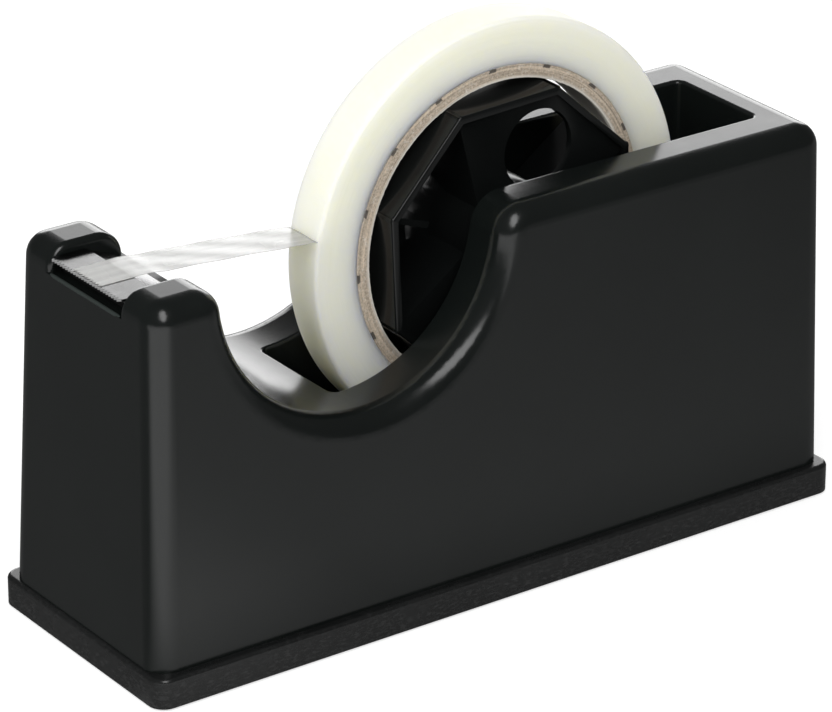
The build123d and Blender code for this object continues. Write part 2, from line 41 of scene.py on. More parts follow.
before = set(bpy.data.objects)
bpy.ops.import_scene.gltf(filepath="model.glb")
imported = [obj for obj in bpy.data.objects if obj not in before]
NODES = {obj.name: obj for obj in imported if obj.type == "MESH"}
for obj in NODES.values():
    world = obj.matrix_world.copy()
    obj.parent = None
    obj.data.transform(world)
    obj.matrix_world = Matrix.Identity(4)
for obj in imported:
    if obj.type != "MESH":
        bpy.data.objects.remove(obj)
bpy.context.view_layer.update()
ROLL_LOW, ROLL_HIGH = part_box("tape_roll")
CORE_LOW, CORE_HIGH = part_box("cardboard_core")
LEAD_END_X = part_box("tape_lead")[1].x
AXIS_X = (ROLL_LOW.x + ROLL_HIGH.x) / 2
AXIS_Z = (ROLL_LOW.z + ROLL_HIGH.z) / 2
ROLL_RADIUS = (ROLL_HIGH.x - ROLL_LOW.x) / 2
CORE_RADIUS = (CORE_HIGH.x - CORE_LOW.x) / 2
HALF_TAPE = ROLL_HIGH.y
PLASTIC_IOR = 1.46
DUST = (0.22, 0.22, 0.22)


# ---- Settings --------------------------------------------------------------------------------
class FinishSettings(bpy.types.PropertyGroup):
    """Colours and gloss of the dispenser's surfaces."""

    shell_colour: FloatVectorProperty(
        name="Shell colour", description="Black of the moulded shell", subtype="COLOR",
        size=3, min=0, max=1, default=(0.0052, 0.0066, 0.0061),
    )
    shell_roughness: FloatProperty(
        name="Shell roughness", description="How soft the shell's reflections are",
        min=0, max=1, default=0.22,
    )
    tray_colour: FloatVectorProperty(
        name="Tray colour", description="Black of the base tray", subtype="COLOR",
        size=3, min=0, max=1, default=(0.0075, 0.0080, 0.0080),
    )
    tray_roughness: FloatProperty(
        name="Tray roughness", description="How soft the tray's reflections are", min=0, max=1, default=0.27,
    )
    hub_colour: FloatVectorProperty(
        name="Hub colour", description="Black of the hub and its adapter", subtype="COLOR",
        size=3, min=0, max=1, default=(0.0040, 0.0046, 0.0045),
    )
    hub_roughness: FloatProperty(
        name="Hub roughness", description="How soft the hub's reflections are", min=0, max=1, default=0.2,
    )
    tape_colour: FloatVectorProperty(
        name="Tape colour", description="Milky colour of the wound tape", subtype="COLOR",
        size=3, min=0, max=1, default=(0.915, 0.91, 0.775),
    )
    film_colour: FloatVectorProperty(
        name="Film colour", description="Colour of a single layer of tape", subtype="COLOR",
        size=3, min=0, max=1, default=(0.56, 0.56, 0.545),
    )
    board_colour: FloatVectorProperty(
        name="Board colour", description="Grey-brown of the cardboard core", subtype="COLOR",
        size=3, min=0, max=1, default=(0.48, 0.40, 0.31),
    )


class TapeSettings(bpy.types.PropertyGroup):
    """Sizes of the roll, its core and the free end of the tape."""

    edge_round: FloatProperty(
        name="Edge round", description="Rounding of the roll's edges", unit="LENGTH", default=0.0009,
    )
    winding_depth: FloatProperty(
        name="Winding depth", description="Deepest that a turn of tape sinks into the roll's side",
        unit="LENGTH", default=0.00005,
    )
    frayed_edge: FloatProperty(
        name="Frayed edge", description="How far the core's bore frays inwards",
        unit="LENGTH", default=0.00018,
    )
    core_bore: FloatProperty(
        name="Core bore", description="Radius of the core's bore", unit="LENGTH", default=0.0381,
    )
    film_thickness: FloatProperty(
        name="Film thickness", description="Thickness of the free tape", unit="LENGTH", default=0.00012,
    )
    cut_tooth: FloatProperty(
        name="Cut tooth", description="Pitch of the zigzag that the blade leaves",
        unit="LENGTH", default=0.00115,
    )


class StageSettings(bpy.types.PropertyGroup):
    """Camera and lamps."""

    camera_place: FloatVectorProperty(
        name="Camera place", description="Where the camera stands", subtype="TRANSLATION", unit="LENGTH",
        size=3, default=(-0.59765, -0.83161, 0.51707),
    )
    camera_turn: FloatProperty(
        name="Camera turn", description="Bearing of the view, from +Y towards -X", subtype="ANGLE",
        default=radians(-35.551),
    )
    camera_dip: FloatProperty(
        name="Camera dip", description="How far the view points down", subtype="ANGLE",
        default=radians(24.485),
    )
    camera_roll: FloatProperty(
        name="Camera roll", description="Turn about the line of sight", subtype="ANGLE",
        default=radians(0.059),
    )
    lens: FloatProperty(
        name="Lens", description="Focal length in millimetres for a 36 mm wide sensor", min=1, default=202.4,
    )
    back_power: FloatProperty(
        name="Back lamp power", description="Power of the low wide lamp behind", unit="POWER", default=6.0,
    )
    side_power: FloatProperty(
        name="Side lamp power", description="Power of the lamp on the cutter's side",
        unit="POWER", default=7.0,
    )
    key_power: FloatProperty(
        name="Key lamp power", description="Power of the tall lamp above the camera",
        unit="POWER", default=5.3,
    )
    floor_colour: FloatVectorProperty(
        name="Floor colour", description="Pale colour of the floor", subtype="COLOR",
        size=3, min=0, max=1, default=(0.55, 0.55, 0.55),
    )
    floor_glow: FloatProperty(
        name="Floor glow", description="Light added where the camera sees the floor", min=0, default=0.6,
    )
    gloss_low: FloatProperty(
        name="Gloss low", description="Floor brightness that glossy surfaces see behind", min=0, default=0.17,
    )
    gloss_near: FloatProperty(
        name="Gloss near", description="Added to it in front of the near side", min=0, default=0.45,
    )
    gloss_corner: FloatProperty(
        name="Gloss corner", description="Added to it in front of the near corner", min=0, default=0.9,
    )
    surround: FloatProperty(
        name="Surround", description="Brightness of the room for matt surfaces", min=0, default=0.58,
    )
    mirrored: FloatProperty(
        name="Mirrored", description="Brightness of the room in reflections", min=0, default=0.12,
    )


# ---- Surfaces --------------------------------------------------------------------------------
def grid_faces(rows, columns, closed_rows, closed_columns):
    """Corner numbers of the quads of a grid whose points are numbered row by row."""
    row = np.arange(rows if closed_rows else rows - 1)[:, None]
    column = np.arange(columns if closed_columns else columns - 1)[None, :]
    next_row = (row + 1) % rows
    next_column = (column + 1) % columns
    corners = (
        row * columns + column, row * columns + next_column,
        next_row * columns + next_column, next_row * columns + column,
    )
    return np.stack(corners, axis=-1).reshape(-1, 4)


def make_piece(name, points, faces, material, smooth=True):
    """A mesh object with its place in its mesh, from an array of points and an array of quads."""
    mesh = bpy.data.meshes.new(name)
    mesh.vertices.add(len(points))
    mesh.vertices.foreach_set("co", np.ascontiguousarray(points, dtype=np.float32).ravel())
    mesh.loops.add(faces.size)
    mesh.loops.foreach_set("vertex_index", np.ascontiguousarray(faces, dtype=np.int32).ravel())
    mesh.polygons.add(len(faces))
    mesh.polygons.foreach_set("loop_start", np.arange(0, faces.size, 4, dtype=np.int32))
    mesh.polygons.foreach_set("use_smooth", np.full(len(faces), smooth))
    mesh.update(calc_edges=True)
    mesh.validate()
    mesh.materials.append(material)
    piece = bpy.data.objects.new(name, mesh)
    bpy.context.scene.collection.objects.link(piece)
    return piece


def turned_ring(radius, width, turns):
    """Points of a profile carried round the spindle's axis.

    radius and width give the profile's distance from the axis and its place across the object, each
    as an array of (turn, profile) or of (profile). A point at turn t is
    (axis x + r cos t, y, axis z + r sin t).
    """
    angle = np.linspace(0, 2 * pi, turns, endpoint=False)[:, None]
    radius = np.broadcast_to(radius, (turns, radius.shape[-1]))
    width = np.broadcast_to(width, radius.shape)
    points = np.stack((AXIS_X + radius * np.cos(angle), width, AXIS_Z + radius * np.sin(angle)), axis=-1)
    return points.reshape(-1, 3)


def waves(place, lengths, seed):
    """A smooth wander between -1 and 1: the mean of sines of the given wave lengths."""
    phase = np.random.default_rng(seed).uniform(0, 2 * pi, len(lengths))
    total = sum(np.sin(2 * pi * place / length + shift) for length, shift in zip(lengths, phase))
    return total / len(lengths)


def wound_roll(edge, depth, bore, turns=288):
    """The roll: a ring whose side faces wander as the turns of tape do.

    The profile runs up one side from bore to tread, round an edge of radius edge, across the tread,
    round the other edge, down the other side and back along the bore. At distance r a side sinks
    by depth times a wander of r whose phase drifts with the turn, and is sunk nowhere at the edges.
    """
    rise = np.linspace(0, 1, 72)
    side_radius = bore + (ROLL_RADIUS - edge - bore) * rise
    arc = np.linspace(0, pi / 2, 6)[1:]
    tread = np.linspace(-1, 1, 9)[1:-1] * (HALF_TAPE - edge)
    bow = 0.00004 * (1 - (tread / HALF_TAPE) ** 2)
    near_radius = np.concatenate((side_radius, ROLL_RADIUS - edge + edge * np.sin(arc)))
    near_width = np.concatenate((np.full(rise.size, -HALF_TAPE), -HALF_TAPE + edge - edge * np.cos(arc)))
    radius = np.concatenate((near_radius, ROLL_RADIUS - bow, near_radius[::-1]))
    width = np.concatenate((near_width, tread, -near_width[::-1]))
    turn = np.linspace(0, 2 * pi, turns, endpoint=False)[:, None]
    lengths = (0.0011, 0.0017, 0.0029, 0.0053, 0.0117)
    outer_fade = 0.0006
    bore_fade = 0.0004
    drift = 0.00025 * np.sin(turn + 0.4) + 0.0001 * np.sin(2 * turn + 1.3)
    near_wander = 0.5 + 0.5 * waves(radius[None, :] + drift, lengths, 5)
    far_wander = 0.5 + 0.5 * waves(radius[None, :] - drift, lengths, 11)
    inside = np.clip((ROLL_RADIUS - edge - radius) / outer_fade, 0, 1)
    inside = inside * np.clip((radius - bore) / bore_fade, 0, 1)
    wander = np.where(width < 0, near_wander, far_wander) * inside
    width = width * (1 - depth * wander / HALF_TAPE)
    points = turned_ring(np.broadcast_to(radius, width.shape), width, turns)
    return points, grid_faces(turns, radius.size, True, True)


def board_ring(bore, rim, fray, turns=480):
    """The core: a ring of board whose bore edges are frayed and whose plies stand a little apart.

    The profile runs up one side, across the outside, down the other side and back along the bore.
    The bore's radius shrinks by fray times a jagged wander of the turn, most at the two side faces.
    """
    rise = np.linspace(0, 1, 18)
    side = bore + (rim - bore) * rise
    across = np.linspace(-1, 1, 7)[1:-1] * HALF_TAPE
    radius = np.concatenate((side, np.full(across.size, rim), side[::-1], np.full(across.size, bore)))
    width = np.concatenate((
        np.full(side.size, -HALF_TAPE), across, np.full(side.size, HALF_TAPE), -across,
    ))
    bore_fade = 0.0006
    side_fade = 0.002
    ply_depth = 0.00004
    ply_pitch = 0.00068
    turn = np.linspace(0, 2 * pi, turns, endpoint=False)[:, None]
    random = np.random.default_rng(3)
    jagged = random.uniform(0, 1, (turns, 1)) * (0.5 + 0.5 * waves(turn, (0.7, 1.9, 0.31), 7))
    at_bore = np.clip(1 - (radius - bore) / bore_fade, 0, 1)[None, :]
    at_side = np.clip((np.abs(width) - HALF_TAPE + side_fade) / side_fade, 0, 1)[None, :]
    radius = radius[None, :] - fray * jagged * at_bore * at_side
    wave = np.sin(2 * pi * (radius - bore) / ply_pitch + 0.4 * np.sin(3 * turn))
    plies = ply_depth * (0.5 + 0.5 * wave)
    width = np.sign(width)[None, :] * (np.abs(width)[None, :] - plies * at_side)
    points = turned_ring(radius, width, turns)
    return points, grid_faces(turns, radius.shape[1], True, True)


def film_strip(centre, half_width, thickness, columns=97):
    """A closed film strip along a line of (x, z) points that starts at the cut end.

    Its upper side is the line raised by half the thickness along its normal, its lower side the line
    dropped by as much, and its loop of points runs across the upper side and back along the lower.
    The cut end is a zigzag: the first rows are shifted along x by a triangle wave of the width. Past
    the blade the line ripples by a sine of the width and the row.
    """
    tooth_height = 0.0007
    ripple_height = 0.00006
    centre = np.asarray(centre)
    along = np.gradient(centre, axis=0)
    along /= np.linalg.norm(along, axis=1, keepdims=True)
    normal = np.stack((-along[:, 1], along[:, 0]), axis=1)
    across = np.linspace(-half_width, half_width, columns)
    tooth = np.abs((across / bpy.context.scene.dispenser_tape.cut_tooth) % 1 - 0.5) * 2
    row = np.arange(len(centre))[:, None]
    near_cut = np.clip(1 - row / 2, 0, 1) * tooth[None, :] * tooth_height
    ripple = np.sin(across / half_width * 4.1 + row * 0.37) * np.clip(row / 12 - 1, 0, 1)
    ripple = ripple_height * ripple
    sides = []
    for sign in (1, -1):
        lift = sign * thickness / 2 + ripple
        x = centre[:, 0][:, None] + normal[:, 0][:, None] * lift + near_cut
        z = centre[:, 1][:, None] + normal[:, 1][:, None] * lift
        y = np.broadcast_to(across[None, :], x.shape)
        sides.append(np.stack((x, y, z), axis=-1))
    loop = np.concatenate((sides[0], sides[1][:, ::-1]), axis=1)
    rows, count = loop.shape[:2]
    faces = grid_faces(rows, count, False, True)
    left = np.arange(columns - 1)
    cap = np.stack((left, left + 1, count - 2 - left, count - 1 - left), axis=1)
    caps = np.concatenate((cap[:, ::-1], cap + (rows - 1) * count))
    return loop.reshape(-1, 3), np.concatenate((faces, caps))[:, ::-1]


def round_bar(centre, half_length, radius, turns=20):
    """A bar along Y with a round section and domed ends.

    At a share s of the length from -1 to 1 the section's radius is the given radius times the root of
    1 - s^24, so it is even along the bar and closes at both ends.
    """
    share = np.sin(np.linspace(-pi / 2, pi / 2, 61))
    swell = radius * np.sqrt(np.clip(1 - share ** 24, 0.0004, 1))
    angle = np.linspace(0, 2 * pi, turns, endpoint=False)
    x = centre.x + swell[:, None] * np.cos(angle)[None, :]
    z = centre.z + swell[:, None] * np.sin(angle)[None, :]
    y = np.broadcast_to(centre.y + half_length * share[:, None], x.shape)
    points = np.stack((x, y, z), axis=-1).reshape(-1, 3)
    faces = grid_faces(share.size, turns, False, True)
    half = turns // 2
    near = np.arange(half - 1)
    cap = np.stack((near, near + 1, turns - 2 - near, turns - 1 - near), axis=1)
    caps = np.concatenate((cap[:, ::-1], cap + (share.size - 1) * turns))
    return points, np.concatenate((faces, caps))[:, ::-1]


# ---- Node helpers ----------------------------------------------------------------------------
def new_group(name, inputs, outputs):
    """An empty shader node group with named inputs (name, type, default) and outputs (name, type)."""
    group = bpy.data.node_groups.new(name, "ShaderNodeTree")
    for label, kind, default in inputs:
        socket = group.interface.new_socket(label, in_out="INPUT", socket_type=kind)
        socket.default_value = default
    for label, kind in outputs:
        group.interface.new_socket(label, in_out="OUTPUT", socket_type=kind)
    return group, group.nodes.new("NodeGroupInput"), group.nodes.new("NodeGroupOutput")


def feed(tree, socket, value):
    """Links a socket to another, or sets its number or colour."""
    if isinstance(value, bpy.types.NodeSocket):
        tree.links.new(value, socket)
    elif socket.type == "RGBA" and len(value) == 3:
        socket.default_value = (*value, 1)
    else:
        socket.default_value = value


def math_node(tree, operation, first, second=0.5, third=0.5):
    """A math node whose inputs are sockets or numbers; gives its output socket."""
    node = tree.nodes.new("ShaderNodeMath")
    node.operation = operation
    for socket, value in zip(node.inputs, (first, second, third)):
        feed(tree, socket, value)
    return node.outputs[0]


def mix_colours(tree, factor, first, second, blend="MIX"):
    """A colour mix whose factor and colours are sockets or values."""
    node = tree.nodes.new("ShaderNodeMix")
    node.data_type = "RGBA"
    node.blend_type = blend
    feed(tree, node.inputs[0], factor)
    feed(tree, node.inputs[6], first)
    feed(tree, node.inputs[7], second)
    return node.outputs[2]


def noise_node(tree, scale, detail=3.0, roughness=0.55, vector=None):
    """A noise texture; gives its factor socket."""
    node = tree.nodes.new("ShaderNodeTexNoise")
    node.inputs["Scale"].default_value = scale
    node.inputs["Detail"].default_value = detail
    node.inputs["Roughness"].default_value = roughness
    if vector:
        tree.links.new(vector, node.inputs["Vector"])
    return node.outputs["Fac"]


def spread(tree, factor, low, high, start=0.0, end=1.0):
    """Stretches a factor that runs from start to end so that it runs from low to high."""
    node = tree.nodes.new("ShaderNodeMapRange")
    tree.links.new(factor, node.inputs["Value"])
    feed(tree, node.inputs["From Min"], start)
    feed(tree, node.inputs["From Max"], end)
    feed(tree, node.inputs["To Min"], low)
    feed(tree, node.inputs["To Max"], high)
    return node.outputs["Result"]


def bump_node(tree, height, distance, strength, normal=None):
    """A bump; gives its normal socket."""
    node = tree.nodes.new("ShaderNodeBump")
    node.inputs["Distance"].default_value = distance
    feed(tree, node.inputs["Strength"], strength)
    tree.links.new(height, node.inputs["Height"])
    if normal:
        tree.links.new(normal, node.inputs["Normal"])
    return node.outputs["Normal"]


def object_place(tree):
    """Object coordinates."""
    return tree.nodes.new("ShaderNodeTexCoord").outputs["Object"]


def stretched_place(tree, scale):
    """Object coordinates with a scale for each axis."""
    mapping = tree.nodes.new("ShaderNodeMapping")
    mapping.inputs["Scale"].default_value = scale
    tree.links.new(object_place(tree), mapping.inputs["Vector"])
    return mapping.outputs["Vector"]


def straight_view(tree, seen):
    """1 for what the camera sees straight on or through the film, from a Light Path node."""
    return math_node(tree, "MAXIMUM", seen.outputs["Is Camera Ray"], seen.outputs["Is Transmission Ray"])


# ---- Shared effects --------------------------------------------------------------------------
def shared_group(name, build):
    """The node group of that name, built the first time that it is asked for."""
    return bpy.data.node_groups.get(name) or build(name)


def moulding_group(name):
    """Moulded plastic: a fine grain, a slow swell of the surface and uneven gloss."""
    group, given, made = new_group(
        name,
        [
            ("Colour", "NodeSocketColor", (0.01, 0.01, 0.01, 1)),
            ("Gloss low", "NodeSocketFloat", 0.15),
            ("Gloss high", "NodeSocketFloat", 0.25),
            ("Grain", "NodeSocketFloat", 0.05),
        ],
        [("Colour", "NodeSocketColor"), ("Roughness", "NodeSocketFloat"), ("Normal", "NodeSocketVector")],
    )
    place = object_place(group)
    cloud = noise_node(group, 26, 4, 0.6, place)
    handled = noise_node(group, 140, 6, 0.7, place)
    both = math_node(group, "ADD", math_node(group, "MULTIPLY", cloud, 0.5),
                     math_node(group, "MULTIPLY", handled, 0.5))
    rough = spread(group, both, given.outputs["Gloss low"], given.outputs["Gloss high"], 0.3, 0.7)
    tone = spread(group, cloud, 0.8, 1.2, 0.25, 0.75)
    shade = group.nodes.new("ShaderNodeCombineColor")
    for channel in shade.inputs:
        group.links.new(tone, channel)
    colour = mix_colours(group, 1.0, given.outputs["Colour"], shade.outputs[0], "MULTIPLY")
    fine = bump_node(group, noise_node(group, 4200, 2, 0.5, place), 0.00002, given.outputs["Grain"])
    broad = bump_node(group, noise_node(group, 20, 1, 0.4, place), 0.00012, 0.05, fine)
    group.links.new(colour, made.inputs["Colour"])
    group.links.new(rough, made.inputs["Roughness"])
    group.links.new(broad, made.inputs["Normal"])
    return group


def scuff_group(name):
    """Scuffs and dust: short pale scratches, denser below a given height."""
    group, given, made = new_group(
        name,
        [
            ("Height", "NodeSocketFloat", 0.01),
            ("Fade", "NodeSocketFloat", 0.01),
            ("Amount", "NodeSocketFloat", 0.3),
        ],
        [("Mask", "NodeSocketFloat")],
    )
    split = group.nodes.new("ShaderNodeSeparateXYZ")
    group.links.new(object_place(group), split.inputs[0])
    below = math_node(group, "SUBTRACT", given.outputs["Height"], split.outputs["Z"])
    low = math_node(group, "DIVIDE", below, given.outputs["Fade"])
    near_floor = spread(group, low, 0.0, 1.0)
    streak = noise_node(group, 520, 5, 0.65, stretched_place(group, (1.0, 1.0, 3.0)))
    speck = noise_node(group, 2600, 2, 0.6, object_place(group))
    marks = spread(group, streak, 0.0, 1.0, 0.5, 0.74)
    dots = spread(group, speck, 0.0, 1.0, 0.6, 0.74)
    mask = math_node(group, "MULTIPLY", math_node(group, "MAXIMUM", marks, dots), near_floor)
    group.links.new(math_node(group, "MULTIPLY", mask, given.outputs["Amount"]), made.inputs["Mask"])
    return group


def round_place_group(name):
    """Distance from the spindle's axis, and the turn about it from 0 to 1."""
    group, given, made = new_group(
        name, [("Axis X", "NodeSocketFloat", AXIS_X), ("Axis Z", "NodeSocketFloat", AXIS_Z)],
        [("Distance", "NodeSocketFloat"), ("Turn", "NodeSocketFloat"), ("Across", "NodeSocketFloat")],
    )
    split = group.nodes.new("ShaderNodeSeparateXYZ")
    group.links.new(object_place(group), split.inputs[0])
    x = math_node(group, "SUBTRACT", split.outputs["X"], given.outputs["Axis X"])
    z = math_node(group, "SUBTRACT", split.outputs["Z"], given.outputs["Axis Z"])
    squares = math_node(group, "ADD", math_node(group, "MULTIPLY", x, x), math_node(group, "MULTIPLY", z, z))
    turn = math_node(group, "ARCTAN2", z, x)
    group.links.new(math_node(group, "SQRT", squares), made.inputs["Distance"])
    group.links.new(math_node(group, "MULTIPLY_ADD", turn, 0.5 / pi, 0.5), made.inputs["Turn"])
    group.links.new(split.outputs["Y"], made.inputs["Across"])
    return group


def place_group(tree, name, build):
    """A node that holds a shared group."""
    node = tree.nodes.new("ShaderNodeGroup")
    node.node_tree = shared_group(name, build)
    return node


def ring_place(tree, distance_scale, turn_scale):
    """A vector that runs along the radius and slowly round the axis, for rings of noise."""
    place = place_group(tree, "round_place", round_place_group)
    join = tree.nodes.new("ShaderNodeCombineXYZ")
    tree.links.new(math_node(tree, "MULTIPLY", place.outputs["Distance"], distance_scale), join.inputs["X"])
    tree.links.new(math_node(tree, "MULTIPLY", place.outputs["Turn"], turn_scale), join.inputs["Y"])
    return place, join.outputs[0]


# ---- Materials -------------------------------------------------------------------------------
def new_material(name):
    """A material with one Principled shader; gives the material, its tree and the shader."""
    material = bpy.data.materials.new(name)
    material.use_nodes = True
    tree = material.node_tree
    return material, tree, tree.nodes["Principled BSDF"]


def moulded_plastic(name, colour, roughness, grain, unevenness=0.05, scuffs=None, shine=0.5, flare=None):
    """Moulded plastic with uneven gloss and a fine grain.

    scuffs gives (height, fade, amount). flare gives (inner radius, outer radius, start, curve) of a ring
    about the spindle's axis whose surface bends towards the near side from the start on.
    """
    material, tree, shader = new_material(name)
    surface = place_group(tree, "moulded_surface", moulding_group)
    surface.inputs["Colour"].default_value = (*colour, 1)
    surface.inputs["Gloss low"].default_value = max(roughness - unevenness, 0.02)
    surface.inputs["Gloss high"].default_value = roughness + unevenness
    surface.inputs["Grain"].default_value = grain
    colour_socket = surface.outputs["Colour"]
    rough_socket = surface.outputs["Roughness"]
    if scuffs:
        wear = place_group(tree, "scuffs", scuff_group)
        for socket, value in zip(wear.inputs, scuffs):
            socket.default_value = value
        colour_socket = mix_colours(tree, wear.outputs["Mask"], colour_socket, DUST)
        rough_socket = math_node(tree, "ADD", rough_socket, wear.outputs["Mask"])
    tree.links.new(colour_socket, shader.inputs["Base Color"])
    tree.links.new(rough_socket, shader.inputs["Roughness"])
    normal = surface.outputs["Normal"]
    if flare:
        inner, outer, start, curve = flare
        ring = place_group(tree, "round_place", round_place_group)
        beyond = math_node(tree, "MAXIMUM", math_node(tree, "SUBTRACT", ring.outputs["Across"], start), 0.0)
        within = math_node(tree, "LESS_THAN", ring.outputs["Distance"], outer)
        past = math_node(tree, "GREATER_THAN", ring.outputs["Distance"], inner)
        inside = math_node(tree, "MULTIPLY", within, past)
        bend = math_node(tree, "MULTIPLY", math_node(tree, "MULTIPLY", beyond, beyond), curve)
        normal = bump_node(tree, math_node(tree, "MULTIPLY", bend, inside), 1.0, 1.0, normal)
    tree.links.new(normal, shader.inputs["Normal"])
    shader.inputs["IOR"].default_value = PLASTIC_IOR
    shader.inputs["Specular IOR Level"].default_value = shine
    return material


def metal(name, colour, roughness, lines=(1, 1, 60), metallic=1.0, pits=0.25):
    """Rolled, ground or cast metal: fine lines along one axis, and patches of tone."""
    material, tree, shader = new_material(name)
    streaks = noise_node(tree, 900, 4, 0.6, stretched_place(tree, lines))
    patches = noise_node(tree, 260, 3, 0.5, object_place(tree))
    dark = tuple(0.8 * part for part in colour)
    tree.links.new(mix_colours(tree, spread(tree, patches, 0.0, 1.0, 0.3, 0.7), dark, colour),
                   shader.inputs["Base Color"])
    tree.links.new(spread(tree, streaks, roughness * 0.7, roughness * 1.4, 0.3, 0.7),
                   shader.inputs["Roughness"])
    tree.links.new(bump_node(tree, streaks, 0.00001, pits), shader.inputs["Normal"])
    shader.inputs["Metallic"].default_value = metallic
    return material


def wound_tape(colour):
    """Milky wound tape: light goes into it, and fine rings run round its sides."""
    material, tree, shader = new_material("wound_tape")
    place, rings = ring_place(tree, 1.0, 0.0006)
    fine = noise_node(tree, 2600, 3, 0.6, rings)
    broad = noise_node(tree, 260, 2, 0.5, rings)
    cloud = noise_node(tree, 34, 3, 0.5, object_place(tree))
    tone = math_node(tree, "MULTIPLY_ADD", fine, 0.35, math_node(tree, "MULTIPLY", broad, 0.4))
    tone = math_node(tree, "MULTIPLY_ADD", cloud, 0.25, tone)
    deep = tuple(part * shade for part, shade in zip(colour, (0.96, 0.96, 0.94)))
    tree.links.new(mix_colours(tree, spread(tree, tone, 0.0, 1.0, 0.35, 0.62), deep, colour),
                   shader.inputs["Base Color"])
    tree.links.new(spread(tree, broad, 0.4, 0.55, 0.3, 0.7), shader.inputs["Roughness"])
    tree.links.new(bump_node(tree, fine, 0.00003, 0.12), shader.inputs["Normal"])
    shader.inputs["IOR"].default_value = PLASTIC_IOR
    shader.inputs["Subsurface Weight"].default_value = 0.9
    shader.inputs["Subsurface Radius"].default_value = (1.0, 0.95, 0.7)
    shader.inputs["Subsurface Scale"].default_value = 0.013
    return material


def core_board(colour, bore, rim):
    """Grey-brown board in plies, with fibres, a pale frayed bore edge and dark glue marks at the rim."""
    material, tree, shader = new_material("core_board")
    place, rings = ring_place(tree, 1.0, 0.004)
    plies = noise_node(tree, 1900, 3, 0.6, rings)
    fibres = noise_node(tree, 1500, 6, 0.75, object_place(tree))
    flecks = noise_node(tree, 700, 4, 0.8, object_place(tree))
    tone = math_node(tree, "MULTIPLY_ADD", plies, 0.45, math_node(tree, "MULTIPLY", fibres, 0.55))
    dark = tuple(0.55 * part for part in colour)
    light = tuple(min(1.45 * part, 1) for part in colour)
    ground = mix_colours(tree, spread(tree, tone, 0.0, 1.0, 0.4, 0.6), dark, light)
    ground = mix_colours(tree, spread(tree, flecks, 0.0, 0.8, 0.55, 0.72), ground, (0.80, 0.76, 0.70))
    wobble = math_node(tree, "MULTIPLY_ADD", fibres, 0.0009, -0.00045)
    distance = math_node(tree, "ADD", place.outputs["Distance"], wobble)
    pale = spread(tree, distance, 0.85, 0.0, bore + 0.00015, bore + 0.0008)
    ground = mix_colours(tree, pale, ground, (0.80, 0.77, 0.70))
    beat = math_node(tree, "MULTIPLY_ADD", place.outputs["Turn"], 16.0, -0.15)
    beat = math_node(tree, "FRACT", math_node(tree, "ADD", beat, math_node(tree, "MULTIPLY", flecks, 0.12)))
    dash = math_node(tree, "LESS_THAN", beat, 0.13)
    at_rim = spread(tree, distance, 0.0, 1.0, rim - 0.0009, rim - 0.0007)
    mark = math_node(tree, "MULTIPLY", math_node(tree, "MULTIPLY", dash, at_rim), 0.9)
    tree.links.new(mix_colours(tree, mark, ground, (0.05, 0.045, 0.04)), shader.inputs["Base Color"])
    tree.links.new(spread(tree, fibres, 0.75, 0.95), shader.inputs["Roughness"])
    tree.links.new(bump_node(tree, tone, 0.00025, 0.5), shader.inputs["Normal"])
    return material


def tape_film(colour):
    """One clear layer of tape: mostly see-through, with faint streaks along it."""
    material, tree, shader = new_material("tape_film")
    streaks = noise_node(tree, 420, 3, 0.6, stretched_place(tree, (0.03, 1.0, 0.03)))
    cloud = noise_node(tree, 90, 3, 0.5, object_place(tree))
    dull = tuple(0.86 * part for part in colour)
    tree.links.new(mix_colours(tree, spread(tree, streaks, 0.0, 1.0, 0.35, 0.65), dull, colour),
                   shader.inputs["Base Color"])
    both = math_node(tree, "MULTIPLY_ADD", streaks, 0.5, math_node(tree, "MULTIPLY", cloud, 0.5))
    tree.links.new(spread(tree, both, 0.52, 0.66, 0.35, 0.65), shader.inputs["Alpha"])
    tree.links.new(spread(tree, cloud, 0.14, 0.3, 0.3, 0.7), shader.inputs["Roughness"])
    shader.inputs["IOR"].default_value = PLASTIC_IOR
    return material


def felt(name, colour):
    """Matted fibres."""
    material, tree, shader = new_material(name)
    fibres = noise_node(tree, 2400, 6, 0.8, object_place(tree))
    dark = tuple(0.5 * part for part in colour)
    tree.links.new(mix_colours(tree, spread(tree, fibres, 0.0, 1.0, 0.35, 0.65), dark, colour),
                   shader.inputs["Base Color"])
    tree.links.new(spread(tree, fibres, 0.85, 1.0), shader.inputs["Roughness"])
    tree.links.new(bump_node(tree, fibres, 0.0002, 0.8), shader.inputs["Normal"])
    shader.inputs["Sheen Weight"].default_value = 0.3
    return material


def dress(node, material):
    """Puts one material on a CAD node."""
    for slot in NODES[node].material_slots:
        slot.material = material


def rim_edges(merged, mesh, reach):
    """The edges of the two end faces that lie farther than reach from the spindle's axis."""
    place = np.empty(3 * len(mesh.vertices))
    mesh.vertices.foreach_get("co", place)
    x, y, z = place.reshape(-1, 3).T
    at_end = np.abs(y) > y.max() - 0.00001
    outer = at_end & ((x - AXIS_X) ** 2 + (z - AXIS_Z) ** 2 > reach ** 2)
    ends = np.empty(2 * len(mesh.edges), dtype=np.int32)
    mesh.edges.foreach_get("vertices", ends)
    chosen = np.flatnonzero(outer[ends.reshape(-1, 2)].all(axis=1))
    merged.edges.ensure_lookup_table()
    return [merged.edges[number] for number in chosen]


